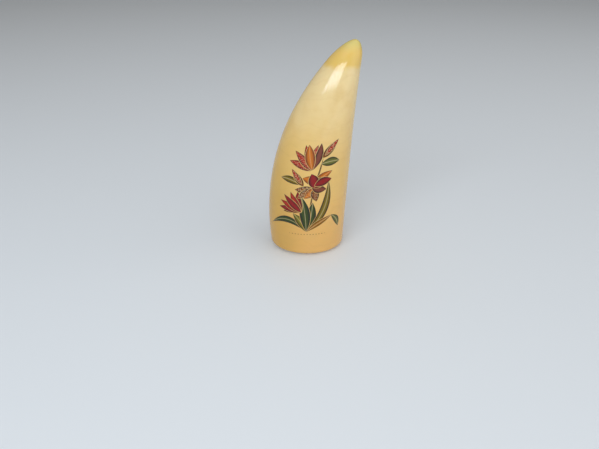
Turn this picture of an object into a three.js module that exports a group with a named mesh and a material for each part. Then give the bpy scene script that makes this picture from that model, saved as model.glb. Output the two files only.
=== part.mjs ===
// A scrimshaw sperm whale tooth that stands upright on its sawn root end.
// Millimetres, +Z up. The origin is the centre of the flat underside, the tip leans
// towards +X, and the decorated face looks along -Y. The tooth is one solid piece: its
// flower picture is colour rubbed into the polished surface, so nothing is raised here.
import * as THREE from "three";

// Driving dimensions
const HEIGHT = 110; // flat underside to tip
const ROOT_WIDTH = 40.8; // along X at the root end, before its edge is rounded
const ROOT_FLATNESS = 0.75; // thickness along Y over width along X, at the underside
const TIP_FLATNESS = 1; // the same at the tip, which is round
const TIP_LEAN = 20.5; // how far the tip stands towards +X from the root's centre
const TIP_WIDTH = 9; // between the two sides at the tip's height, before it is domed
const TIP_DOME = 10; // height of the dome that closes the tip
const EDGE_RADIUS = 3.1; // rounding of the edge round the underside

// Each side of the outline is bent by two handles. The lower one keeps the lower half of
// the tooth nearly parallel, and the upper one brings the side in under the tip.
const LOWER_HANDLE_HEIGHT = 67;
const UPPER_HANDLE_HEIGHT = 99;
const BELLY_HANDLES = [-27.5, 7]; // X of both, on the full side away from the lean
const THROAT_HANDLES = [21.8, 23.5]; // X of both, on the nearly straight side under it

// Fineness of the faceted skin
const SECTORS = 80;
const EDGE_RINGS = 6;
const BODY_RINGS = 44;

function side(direction, [lowerX, upperX]) {
  return new THREE.CubicBezierCurve(
    new THREE.Vector2((direction * ROOT_WIDTH) / 2, 0),
    new THREE.Vector2(lowerX, LOWER_HANDLE_HEIGHT),
    new THREE.Vector2(upperX, UPPER_HANDLE_HEIGHT),
    new THREE.Vector2(TIP_LEAN + (direction * TIP_WIDTH) / 2, HEIGHT),
  );
}

const belly = side(-1, BELLY_HANDLES);
const throat = side(1, THROAT_HANDLES);

// How far the skin is drawn in at a height, which rounds the edge of the underside.
function edgeInset(height) {
  if (height >= EDGE_RADIUS) return 0;
  return EDGE_RADIUS - Math.sqrt(EDGE_RADIUS ** 2 - (EDGE_RADIUS - height) ** 2);
}

// The share of the full width that is left at a height, which domes the tip. The cube
// lets the dome start without a crease.
function domeShare(height) {
  const climb = Math.max(0, (height - (HEIGHT - TIP_DOME)) / TIP_DOME);
  return Math.sqrt(1 - climb ** 3);
}

// One level ring of the skin: an oval between the two sides. Both sides share their
// heights, so the same step along each gives two points at one level.
function ring(step) {
  const left = belly.getPoint(step);
  const right = throat.getPoint(step);
  const height = left.y;
  const centre = (left.x + right.x) / 2;
  const halfWidth = ((right.x - left.x) / 2) * domeShare(height);
  const halfDepth =
    halfWidth * THREE.MathUtils.lerp(ROOT_FLATNESS, TIP_FLATNESS, height / HEIGHT);
  const inset = edgeInset(height);
  const points = [];
  for (let k = 0; k < SECTORS; k++) {
    const angle = (2 * Math.PI * k) / SECTORS;
    const x = centre + (halfWidth - inset) * Math.cos(angle);
    const y = (halfDepth - inset) * Math.sin(angle);
    points.push(x, y, height);
  }
  return points;
}

// Steps along the sides, from the underside to just below the tip: close together round
// the lower edge, where a unit step climbs 3 * LOWER_HANDLE_HEIGHT, and again in the dome.
function ringSteps() {
  const edgeStep = EDGE_RADIUS / (3 * LOWER_HANDLE_HEIGHT);
  const steps = [];
  for (let k = 0; k < EDGE_RINGS; k++) {
    steps.push(edgeStep * (1 - Math.cos((Math.PI / 2) * (k / EDGE_RINGS))));
  }
  for (let k = 0; k < BODY_RINGS; k++) {
    steps.push(edgeStep + (1 - edgeStep) * Math.sin((Math.PI / 2) * (k / BODY_RINGS)));
  }
  return steps;
}

function toothGeometry() {
  const steps = ringSteps();
  const positions = steps.flatMap(ring);
  const undersideCentre = positions.length / 3;
  const tip = undersideCentre + 1;
  positions.push(0, 0, 0, TIP_LEAN, 0, HEIGHT);

  const triangles = [];
  const top = (steps.length - 1) * SECTORS;
  for (let k = 0; k < SECTORS; k++) {
    const next = (k + 1) % SECTORS;
    triangles.push(undersideCentre, next, k);
    for (let row = 0; row < top; row += SECTORS) {
      triangles.push(row + k, row + next, row + SECTORS + next);
      triangles.push(row + k, row + SECTORS + next, row + SECTORS + k);
    }
    triangles.push(top + k, top + next, tip);
  }

  const geometry = new THREE.BufferGeometry();
  geometry.setAttribute("position", new THREE.Float32BufferAttribute(positions, 3));
  geometry.setIndex(triangles);
  geometry.computeVertexNormals();
  return geometry;
}

// Polished tooth ivory: warm cream, glossy
const ivory = new THREE.MeshStandardMaterial({
  color: 0xe3c68c,
  roughness: 0.25,
  metalness: 0,
});

const tooth = new THREE.Mesh(toothGeometry(), ivory);
tooth.name = "tooth";

const scrimshaw = new THREE.Group();
scrimshaw.add(tooth);

export default scrimshaw;
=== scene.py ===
"""A scrimshaw sperm whale tooth, standing upright on its sawn root end.

Metres, in the CAD's frame: the origin is the centre of the flat underside, +Z is up, the tip
leans towards +X, and the decorated face looks along -Y. Sizes of the tooth and of its picture
are in millimetres.
"""
import math
import bpy
import numpy as np
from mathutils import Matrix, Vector


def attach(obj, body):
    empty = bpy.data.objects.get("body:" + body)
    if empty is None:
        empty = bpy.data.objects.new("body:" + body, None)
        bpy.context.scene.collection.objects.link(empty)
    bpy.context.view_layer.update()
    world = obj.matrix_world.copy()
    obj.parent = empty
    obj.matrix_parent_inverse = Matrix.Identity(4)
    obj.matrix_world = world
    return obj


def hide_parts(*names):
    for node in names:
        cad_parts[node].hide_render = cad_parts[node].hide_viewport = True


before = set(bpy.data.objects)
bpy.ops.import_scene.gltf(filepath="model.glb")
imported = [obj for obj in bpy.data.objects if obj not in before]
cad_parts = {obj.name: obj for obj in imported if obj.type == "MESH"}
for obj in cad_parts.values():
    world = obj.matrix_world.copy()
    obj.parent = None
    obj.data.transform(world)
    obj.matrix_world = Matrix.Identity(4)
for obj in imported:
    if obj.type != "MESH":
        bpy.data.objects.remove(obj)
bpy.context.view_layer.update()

# ------------------------------------------------------------------ the tooth's form
# One whole tooth, worked by hand: the ridges of its root were filed away, its root end sawn
# flat and its edge eased, and the skin scraped and buffed until it shone. Scraping leaves
# shallow flats that show only where light glances off them.
MM = 0.001
HEIGHT = 110.0                  # flat underside to tip
ROOT_WIDTH = 40.8               # along X at the root end
ROOT_FLATNESS = 0.75            # thickness along Y over width along X, at the underside
TIP_FLATNESS = 1.0              # the same at the tip, which is round
TIP_LEAN = 20.5                 # how far the tip stands towards +X
TIP_WIDTH = 9.0                 # between the two sides at the tip's height, before it is domed
TIP_DOME = 10.0                 # height of the dome that closes the tip
EDGE_RADIUS = 3.1               # the eased edge round the underside
HANDLE_HEIGHTS = (67.0, 99.0)   # of the two handles that bend each side of the outline
BELLY_HANDLES = (-27.5, 7.0)    # their X on the full side
THROAT_HANDLES = (21.8, 23.5)   # and on the nearly straight side, under the lean
FLATS_DEPTH = 0.10              # of the shallow flats left by scraping and buffing

SECTORS = 288                   # steps round the skin
EDGE_RINGS = 10                 # and up it, in the eased edge and above it
BODY_RINGS = 280


def bend(step, start, handles, end):
    """A curve from start to end with two handles, at each step from 0 to 1."""
    back = 1 - step
    lower, upper = handles
    return back**3 * start + 3 * back**2 * step * lower + 3 * back * step**2 * upper + step**3 * end


def flats(angle, height):
    """How far the skin lies under its ideal form: a few slow waves round it and up it."""
    waves = (
        np.sin(5 * angle + 0.045 * height)
        + 0.7 * np.sin(3 * angle - 0.11 * height + 1.3)
        + 0.5 * np.sin(9 * angle + 0.16 * height + 0.4)
    )
    return FLATS_DEPTH * (waves / 2.2 - 1) / 2


edge_step = EDGE_RADIUS / (3 * HANDLE_HEIGHTS[0])
quarter_turn = math.pi / 2
steps = np.concatenate([
    edge_step * (1 - np.cos(np.linspace(0, quarter_turn, EDGE_RINGS, endpoint=False))),
    edge_step + (1 - edge_step) * np.sin(np.linspace(0, quarter_turn, BODY_RINGS, endpoint=False)),
])
angles = np.linspace(-math.pi, math.pi, SECTORS + 1)      # 0 faces -Y, and the seam is at the back

rise = bend(steps, 0, HANDLE_HEIGHTS, HEIGHT)
belly = bend(steps, -ROOT_WIDTH / 2, BELLY_HANDLES, TIP_LEAN - TIP_WIDTH / 2)
throat = bend(steps, ROOT_WIDTH / 2, THROAT_HANDLES, TIP_LEAN + TIP_WIDTH / 2)
dome_climb = np.clip(1 - (HEIGHT - rise) / TIP_DOME, 0, 1)
inset = EDGE_RADIUS - np.sqrt(EDGE_RADIUS**2 - np.clip(EDGE_RADIUS - rise, 0, None) ** 2)
half_width = (throat - belly) / 2 * np.sqrt(1 - dome_climb**3)
half_depth = half_width * (ROOT_FLATNESS + (TIP_FLATNESS - ROOT_FLATNESS) * rise / HEIGHT)

# The flats die away at the underside's edge and in the dome, which keep their form.
calm = np.clip(rise / 8, 0, 1) * np.clip((HEIGHT - rise) / 14, 0, 1) ** 2
drop = flats(angles[None, :], rise[:, None]) * calm[:, None] - inset[:, None]
skin = np.stack([
    (belly + throat)[:, None] / 2 + (half_width[:, None] + drop) * np.sin(angles),
    -(half_depth[:, None] + drop) * np.cos(angles),
    np.repeat(rise[:, None], SECTORS + 1, axis=1),
], axis=-1)

# The skin unrolled: mm round it from the front line, and mm up it from the floor
around = np.cumsum(np.linalg.norm(np.diff(skin, axis=1, prepend=skin[:, :1]), axis=2), axis=1)
around -= around[:, SECTORS // 2][:, None]
unrolled = np.stack([around, skin[:, :, 2]], axis=-1)

RINGS = len(steps)
underside_centre, tip = RINGS * SECTORS, RINGS * SECTORS + 1
points = [*skin[:, :-1].reshape(-1, 3), (0, 0, 0), (TIP_LEAN, 0, HEIGHT)]
BELOW = (0, -1)                 # the underside's place on the unrolled skin, which it isn't part of
faces, spots = [], []           # spots: each face corner's place on the unrolled skin
for k in range(SECTORS):
    after = (k + 1) % SECTORS
    for ring in range(RINGS - 1):
        low, high = ring * SECTORS, (ring + 1) * SECTORS
        faces.append([low + k, low + after, high + after, high + k])
        spots += [unrolled[ring, k], unrolled[ring, k + 1], unrolled[ring + 1, k + 1], unrolled[ring + 1, k]]
    last = (RINGS - 1) * SECTORS
    left, right = unrolled[-1, k], unrolled[-1, k + 1]
    faces.append([last + k, last + after, tip])
    spots += [left, right, ((left[0] + right[0]) / 2, HEIGHT)]
for k in range(SECTORS):
    faces.append([underside_centre, (k + 1) % SECTORS, k])
    spots += [BELOW, BELOW, BELOW]

mesh = bpy.data.meshes.new("tooth")
mesh.from_pydata([Vector(p) * MM for p in points], [], faces)
mesh.shade_smooth()
on_skin = mesh.attributes.new("unrolled_mm", "FLOAT2", "CORNER")
on_skin.data.foreach_set("vector", np.array(spots, "f").ravel())
tooth = bpy.data.objects.new("tooth_skin", mesh)
bpy.context.collection.objects.link(tooth)
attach(tooth, "root")
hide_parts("tooth")

# The map for a texture of the finished tooth: the unrolled skin upright in the square, and the
# underside, which has least to show, at half the scale in the corner that the tip leaves free
MAP_SCALE = 0.98 / (around[:, -1] - around[:, 0]).max()
UNDERSIDE_SCALE = MAP_SCALE / 2
MAP_MARGIN = 0.01
bake_map = mesh.uv_layers.new(name="OFBake")
corner_points = np.array([points[i] for face in faces for i in face])
places = np.array(spots) * MAP_SCALE + (0.5, MAP_MARGIN)
on_underside = np.array(spots)[:, 1] < 0
places[on_underside] = corner_points[on_underside][:, :2] * UNDERSIDE_SCALE + (
    MAP_MARGIN + ROOT_WIDTH / 2 * UNDERSIDE_SCALE,
    1 - MAP_MARGIN - ROOT_WIDTH / 2 * UNDERSIDE_SCALE,
)
bake_map.data.foreach_set("uv", places.astype("f").ravel())

# ------------------------------------------------------------------ polished tooth ivory
# The skin is cementum over dentine, buffed to a deep gloss: warm cream with a little light
# passing into it, yellower and clearer at the tip, partly as bared dentine and partly as painted
# shade where the tip reflects no pale light, and tinted olive on the full side towards the root.


def linear(code):
    """An sRGB hex colour as linear RGBA."""
    parts = [int(code[i:i + 2], 16) / 255 for i in (1, 3, 5)]
    return tuple(c / 12.92 if c <= 0.04045 else ((c + 0.055) / 1.055) ** 2.4 for c in parts) + (1.0,)


def add(tree, kind, settings=None, **inputs):
    """A node of a kind, with its settings, and each input as a value or as the socket that feeds it.

    An input is named by its place (_0, _1) or by its name, with _ for a space.
    """
    node = tree.nodes.new(kind)
    for name, value in (settings or {}).items():
        setattr(node, name, value)
    for name, value in inputs.items():
        socket = node.inputs[int(name[1:])] if name[1:].isdigit() else node.inputs[name.replace("_", " ")]
        if isinstance(value, bpy.types.NodeSocket):
            tree.links.new(value, socket)
        else:
            socket.default_value = value
    return node


ivory = bpy.data.materials.new("polished_tooth_ivory")
ivory.use_nodes = True
tree = ivory.node_tree
shader = tree.nodes["Principled BSDF"]
mesh.materials.append(ivory)

place = add(tree, "ShaderNodeAttribute", {"attribute_name": "unrolled_mm"}).outputs["Vector"]
height = add(tree, "ShaderNodeSeparateXYZ", _0=place).outputs["Y"]
in_mm = add(tree, "ShaderNodeVectorMath", {"operation": "SCALE"},
            _0=add(tree, "ShaderNodeTexCoord").outputs["Object"], Scale=1 / MM).outputs[0]


def blotches(size, detail=2.0):
    """Soft cloudy variation about 0.5, for blotches of a size in mm."""
    return add(tree, "ShaderNodeTexNoise", Vector=in_mm, Scale=1 / size, Detail=detail).outputs["Fac"]


def span(value, low, high, to_low=0.0, to_high=1.0):
    """A value from low to high, eased to another range."""
    return add(tree, "ShaderNodeMapRange", {"interpolation_type": "SMOOTHSTEP"}, Value=value, From_Min=low,
               From_Max=high, To_Min=to_low, To_Max=to_high).outputs[0]


def blend(share, under, over):
    """One colour over another; each is a hex code or a socket."""
    under, over = [linear(c) if isinstance(c, str) else c for c in (under, over)]
    return add(tree, "ShaderNodeMix", {"data_type": "RGBA"}, _0=share, _6=under, _7=over).outputs[2]


def reckon(operation, *values):
    """One step of arithmetic in the ivory."""
    return add(tree, "ShaderNodeMath", {"operation": operation},
               **{f"_{i}": v for i, v in enumerate(values)}).outputs[0]


# From the root up: apricot, honey, cream, with slow blotches that shift the bands
wander = reckon("MULTIPLY_ADD", blotches(22), 24.0, height)
colour = blend(span(wander, 22, 60), "#eab566", "#ebc272")
colour = blend(span(wander, 60, 112), colour, "#f2d9a2")
colour = blend(span(blotches(9, 3), 0.42, 0.75, 0, 0.3), colour, "#dcb26a")

# An olive tint on the full side, strongest towards the root and fading upwards
sideways = add(tree, "ShaderNodeSeparateXYZ", _0=in_mm).outputs["X"]
olive_tint = reckon("MULTIPLY", span(sideways, 2, -16, 0, 0.6), span(height, 84, 30))
colour = blend(olive_tint, colour, "#c69a3e")

# Growth layers: faint level bands, a few to the centimetre, broken up by the grain
layers = add(tree, "ShaderNodeTexNoise", {"noise_dimensions": "1D"}, W=wander, Scale=0.35, Detail=3.0,
             Roughness=0.6).outputs["Fac"]
colour = blend(span(layers, 0.45, 0.8, 0, 0.07), colour, "#b98a48")

# The tip: clear yellow above a soft border that wavers round the tooth, greener at the very top.
# The yellow is partly the bare dentine's own colour and partly painted shade, deeper where the
# tip reflects none of the pale light that the skin below its border reflects.
border = reckon("MULTIPLY_ADD", blotches(7), 3.0, height)
colour = blend(span(border, 99.4, 102.0), colour, "#e9c46c")
colour = blend(span(height, 104.5, 109.5, 0, 0.6), colour, "#d2cb7a")

# The sawn underside shows the layers as rings, one inside another, in duller cementum.
stretched = add(tree, "ShaderNodeVectorMath", {"operation": "MULTIPLY"}, _0=in_mm,
                  _1=(1, 1 / ROOT_FLATNESS, 0)).outputs[0]
out = add(tree, "ShaderNodeVectorMath", {"operation": "LENGTH"}, _0=stretched).outputs["Value"]
rings = add(tree, "ShaderNodeTexNoise", {"noise_dimensions": "1D"}, W=out, Scale=1.3, Detail=3.0,
            Roughness=0.7).outputs["Fac"]
sawn = blend(span(rings, 0.4, 0.65, 0, 0.7), "#e0c48e", "#b98d54")
colour = blend(span(height, 0.2, -0.2), colour, sawn)
bare = colour

# ------------------------------------------------------------------ the flower picture
# Lines cut with a needle and rubbed with coloured inks, then polished back level with the
# skin: strap leaves from one root, stems, lilies and buds. Every figure is made of pointed
# strokes with a cut outline, a fan of cut lines inside, and bare ivory left round it.
PALE = "#e8cf9c"
HATCH_PITCH = 0.55              # mm between the cut lines inside a stroke
DOT_PITCH = 1.6                 # mm between the pricked dots of the ground, and their height
DOT_HEIGHT = 15.0

stroke = bpy.data.node_groups.new("inked_stroke", "ShaderNodeTree")
for name, kind in (
    ("Under", "Color"), ("Place", "Vector"), ("Dots", "Float"), ("Bare", "Color"),
    ("Root", "Vector"), ("Facing", "Vector"), ("Sideways", "Vector"), ("Length", "Float"), ("Width", "Float"),
    ("Bow", "Float"), ("Fullness", "Float"), ("Rim", "Color"), ("Heart", "Color"), ("Speckle", "Float"),
    ("Vein", "Float"), ("Hatch", "Float"),
):
    stroke.interface.new_socket(name, in_out="INPUT", socket_type=f"NodeSocket{kind}")
stroke.interface.new_socket("Colour", in_out="OUTPUT", socket_type="NodeSocketColor")
given = add(stroke, "NodeGroupInput").outputs


def work(operation, *values):
    """One step of arithmetic in the stroke."""
    return add(stroke, "ShaderNodeMath", {"operation": operation},
               **{f"_{i}": v for i, v in enumerate(values)}).outputs[0]


def along(offset, way):
    """How far an offset reaches in one of the stroke's two directions."""
    return add(stroke, "ShaderNodeVectorMath", {"operation": "DOT_PRODUCT"}, _0=offset,
               _1=given[way]).outputs["Value"]


def ease(value, low, high):
    """0 below low, 1 above high, and smooth between."""
    return add(stroke, "ShaderNodeMapRange", {"interpolation_type": "SMOOTHSTEP"}, Value=value, From_Min=low,
               From_Max=high).outputs[0]


def wash(share, under, over):
    """One colour of the stroke over another."""
    return add(stroke, "ShaderNodeMix", {"data_type": "RGBA"}, _0=share, _6=under, _7=over).outputs[2]


# How far inside the stroke's pointed, bowed outline the place lies, in mm
from_root = add(stroke, "ShaderNodeVectorMath", {"operation": "SUBTRACT"}, _0=given["Place"],
                _1=given["Root"]).outputs[0]
forward = along(from_root, "Facing")
aside = along(from_root, "Sideways")
share = work("DIVIDE", forward, given["Length"])
arch = work("MULTIPLY", work("MULTIPLY", share, work("SUBTRACT", 1.0, share)), 4.0)
off_spine = work("ABSOLUTE", work("SUBTRACT", aside, work("MULTIPLY", arch, given["Bow"])))
swell = work("POWER", work("MINIMUM", work("MAXIMUM", share, 0.0), 1.0), given["Fullness"])
half = work("MULTIPLY", work("MULTIPLY", swell, work("SUBTRACT", 1.0, swell)),
            work("MULTIPLY", given["Width"], 2.0))
from_middle = work("ABSOLUTE", work("SUBTRACT", share, 0.5))
past_end = work("MULTIPLY", work("MAXIMUM", work("SUBTRACT", from_middle, 0.5), 0.0), given["Length"])
inside = work("SUBTRACT", work("SUBTRACT", half, off_spine), past_end)

# Bare ivory round it, a dark rim, a lighter heart crossed by cut lines, and pale lines and dots
cut_lines = ease(work("PINGPONG", work("SUBTRACT", forward, off_spine), HATCH_PITCH / 2), 0.14, 0.04)
inner = ease(inside, 0.2, 0.45)
towards_heart = ease(work("DIVIDE", off_spine, work("MAXIMUM", half, 0.01)), 1.0, 0.2)
lit = work("MULTIPLY", inner, towards_heart)
lit = work("MULTIPLY", lit, work("SUBTRACT", 1.0, work("MULTIPLY", given["Hatch"], cut_lines)))
pale = work("MULTIPLY", given["Vein"], ease(off_spine, 0.26, 0.08))
pale = work("MULTIPLY", work("MAXIMUM", pale, work("MULTIPLY", given["Speckle"], given["Dots"])),
            ease(inside, 0.15, 0.35))
colour = wash(ease(inside, -0.22, -0.08), given["Under"], given["Bare"])
colour = wash(ease(inside, 0.0, 0.12), colour, given["Rim"])
colour = wash(lit, colour, given["Heart"])
colour = wash(pale, colour, linear(PALE))
stroke.links.new(colour, add(stroke, "NodeGroupOutput").inputs["Colour"])

dots = span(add(tree, "ShaderNodeTexVoronoi", {"voronoi_dimensions": "2D"}, Vector=place, Scale=1.1,
                Randomness=0.7).outputs["Distance"], 0.4, 0.25)
picture = bare


def draw(start, end, width, inks, bow=0.0, fullness=1.0, speckle=0.0, vein=0.0, hatch=0.35):
    """One stroke over what is drawn so far, from place to place, with its middle bowed to its left.

    37 strokes fit in the renderer's shader stack and 41 don't; with too many the tooth renders black.
    """
    global picture
    run = Vector(end) - Vector(start)
    facing = run.normalized()
    node = add(tree, "ShaderNodeGroup", {"node_tree": stroke}, Under=picture, Place=place, Dots=dots,
               Bare=bare, Root=(*start, 0), Facing=(*facing, 0), Sideways=(-facing.y, facing.x, 0),
               Length=run.length, Width=width, Bow=bow, Fullness=fullness, Rim=linear(inks[0]),
               Heart=linear(inks[1]), Speckle=speckle, Vein=vein, Hatch=hatch)
    picture = node.outputs["Colour"]


def onward(start, heading, length):
    """The place at a heading, in degrees from +X, and a distance from another."""
    turn = math.radians(heading)
    return start[0] + length * math.cos(turn), start[1] + length * math.sin(turn)


def fan(base, heading, spread, petals, length, width, inks, speckle=0.0):
    """Petals that open from one base, drawn from the outer ones inwards."""
    for k in sorted(range(petals), key=lambda k: -abs(2 * k + 1 - petals)):
        lean = (k / (petals - 1) - 0.5) * spread
        draw(base, onward(base, heading + lean, length * (1 - abs(lean) / 500)), width, inks[k % len(inks)],
             bow=-lean / 60, fullness=0.85, speckle=speckle)


def bud(base, end, width, inks):
    """A closed bud: a speckled petal over the sepal that holds it."""
    draw(base, end, width, inks[0], fullness=0.8)
    petal_base = Vector(base) + (Vector(end) - Vector(base)).normalized() * 1.5
    draw(petal_base, end, width * 0.7, inks[1], speckle=0.45)


# Inks as rubbed in, each as its rim and its heart
GREEN = ("#0a1202", "#3a4c06")
MOSS = ("#241f00", "#857a02")
OLIVE = ("#2a1a00", "#8a7202")
GOLD = ("#552c00", "#b07404")
SAGE = ("#1e2004", "#74742a")
CRIMSON = ("#3c0000", "#980000")
SCARLET = ("#560400", "#b42000")
ORANGE = ("#702800", "#d27400")
BROWN = ("#341200", "#8a4604")
MAUVE = ("#340e06", "#84402a")
STALK = ("#3c2608", "#8c6a30")

# The stem, and the strap leaves from its root, the last of them folded over at its tip
ROOT = (-0.6, 16.8)
NODE = (1.2, 44.0)              # where the middle bloom sits on the stem
draw(ROOT, NODE, 1.0, STALK, bow=-0.5)
draw(NODE, (3.6, 60.4), 0.9, STALK, bow=-0.6)

for end, width, inks, bow in (
    ((-21.6, 17.6), 4.2, GREEN, -6.4),
    ((-8.0, 28.2), 4.4, MOSS, -0.9),
    ((1.8, 35.4), 5.4, GREEN, -0.9),
    ((-4.2, 38.6), 5.6, GREEN, -0.8),
    ((8.6, 47.4), 4.6, OLIVE, -4.4),
    ((13.2, 26.0), 3.2, GOLD, 0.9),
):
    draw(ROOT, end, width, inks, bow=bow, vein=0.45, hatch=0.5)
draw((12.6, 26.2), (18.2, 16.8), 3.6, SAGE, bow=1.2, vein=0.45, hatch=0.5)

# The low lily on the left, over a brown petal
draw((-4.2, 29.4), (-13.4, 28.4), 3.2, BROWN, bow=-0.9)
fan((-3.6, 29.2), 138, 72, 5, 13.6, 3.6, (CRIMSON, SCARLET))

# Drooping petals and a small bud and leaf on the left of the stem
fan((1.2, 43.4), 204, 32, 2, 9.6, 4.0, (BROWN,), speckle=0.45)
fan((2.2, 43.8), 256, 50, 2, 8.6, 4.4, (ORANGE, BROWN), speckle=0.25)
draw((-5.4, 45.0), (-16.8, 46.8), 3.8, OLIVE, bow=-1.2, vein=0.5, hatch=0.5)
bud((-3.8, 44.6), (-11.0, 52.8), 3.6, (BROWN, SCARLET))

# The middle bloom: crimson cup between an orange sepal on either side, mauve petals under it
draw(NODE, (9.8, 52.4), 4.4, ORANGE, bow=1.2, vein=0.3)
draw((2.2, 44.6), (-4.8, 48.8), 4.8, ORANGE, bow=-1.4)
draw((0.0, 45.2), (8.2, 42.4), 4.6, MAUVE, bow=-0.9)
fan((1.4, 43.8), 74, 62, 2, 8.4, 5.4, (CRIMSON,))
draw((1.6, 44.8), (10.2, 48.0), 4.8, CRIMSON, bow=0.6)

# The tall lily
fan((-0.6, 53.2), 126, 76, 4, 14.0, 4.0, (SCARLET,), speckle=0.25)
draw((-0.6, 53.2), (1.2, 67.0), 3.8, MAUVE, bow=-1.0)
draw((-0.6, 53.2), (-4.4, 66.0), 4.8, ORANGE, bow=0.3, vein=0.25)

# The bud and leaf on the right
draw((3.0, 56.4), (12.8, 57.0), 4.6, SAGE, bow=0.6, vein=0.5, hatch=0.5)
bud((3.4, 59.6), (9.4, 68.2), 4.0, (BROWN, SCARLET))

# A row of pricked dots is the ground under the root.
across = add(tree, "ShaderNodeSeparateXYZ", _0=place).outputs["X"]
beside_dot = reckon("PINGPONG", across, DOT_PITCH / 2)
above_dot = reckon("SUBTRACT", height, DOT_HEIGHT)
from_dot = add(tree, "ShaderNodeVectorMath", {"operation": "LENGTH"},
               _0=add(tree, "ShaderNodeCombineXYZ", _0=beside_dot, _1=above_dot).outputs[0]).outputs["Value"]
pricked = reckon("MULTIPLY", span(reckon("ABSOLUTE", across), 11, 8), span(from_dot, 0.34, 0.2))
picture = blend(pricked, picture, "#8a5a2a")

# Buffed ivory gives a clear highlight with a soft edge, over a body that light enters a little.
# The index is under tooth's 1.54, so that less pale sheen lies over the dark inks.
tree.links.new(picture, shader.inputs["Base Color"])
shader.inputs["Roughness"].default_value = 0.13
shader.inputs["IOR"].default_value = 1.48
shader.inputs["Subsurface Weight"].default_value = 0.1
shader.inputs["Subsurface Radius"].default_value = (1.0, 0.6, 0.3)
shader.inputs["Subsurface Scale"].default_value = 0.002

# ------------------------------------------------------------------ floor
# A plain pale sheet under the tooth, a hair below its underside. Its sheen is soft, so that it
# takes only a dim shadow and no sharp reflection.
bpy.ops.mesh.primitive_plane_add(size=6, location=(0, 0, -0.0002))
floor = bpy.context.object
floor.name = "floor"
paper = bpy.data.materials.new("pale_floor")
paper.use_nodes = True
matte = paper.node_tree.nodes["Principled BSDF"]
matte.inputs["Base Color"].default_value = linear("#e4e9ee")
matte.inputs["Roughness"].default_value = 0.5
floor.data.materials.append(paper)

# ------------------------------------------------------------------ light
# A wide, low window of cool light leaves the slanting highlight under the tip. A fill on the
# leaning side and a large panel overhead keep the rest of the tooth evenly lit.


def softbox(name, width, tall, azimuth, elevation, distance, power, roll=0.0, tint=(1, 1, 1),
            look_at=(0.012, 0, 0.085)):
    """A rectangular soft light at a bearing from the tooth: azimuth 0 is in front, 90 towards +X."""
    a, e = math.radians(azimuth), math.radians(elevation)
    away = Vector((math.sin(a) * math.cos(e), -math.cos(a) * math.cos(e), math.sin(e)))
    light = bpy.data.lights.new(name, "AREA")
    light.shape = "RECTANGLE"
    light.size, light.size_y, light.energy = width, tall, power
    light.color = tint
    box = bpy.data.objects.new(name, light)
    box.location = Vector(look_at) + away * distance
    box.rotation_euler = away.to_track_quat("Z", "Y").to_euler()
    box.rotation_euler.rotate_axis("Z", math.radians(roll))
    bpy.context.collection.objects.link(box)


softbox("key", 0.80, 0.20, -19, 29.6, 0.8, 3.8, roll=-13, tint=(0.86, 0.93, 1.0))
softbox("fill", 1.0, 1.0, 70, 25, 0.9, 2.4)
softbox("overhead", 1.6, 1.6, 0, 89, 1.2, 6)
world = bpy.data.worlds.new("studio")
world.use_nodes = True
world.node_tree.nodes["Background"].inputs["Color"].default_value = linear("#e6e5e2")
world.node_tree.nodes["Background"].inputs["Strength"].default_value = 0.3
bpy.context.scene.world = world
bpy.context.scene.view_settings.view_transform = "Standard"

# ------------------------------------------------------------------ camera
# In front of the decorated face and above the tip, looking down at it through a wide lens.
# It stands a little off centre, and its place is in heights of the tooth.
CAMERA_PLACE = (-0.0397, -1.929, 1.382)
LOOKING_DOWN = 33.7             # degrees below the level

camera = bpy.data.objects.new("camera", bpy.data.cameras.new("camera"))
camera.data.sensor_width = 36
camera.data.lens = 26.9
camera.location = Vector(CAMERA_PLACE) * HEIGHT * MM
camera.rotation_euler = (math.radians(90 - LOOKING_DOWN), 0, 0)
bpy.context.collection.objects.link(camera)
bpy.context.scene.camera = camera
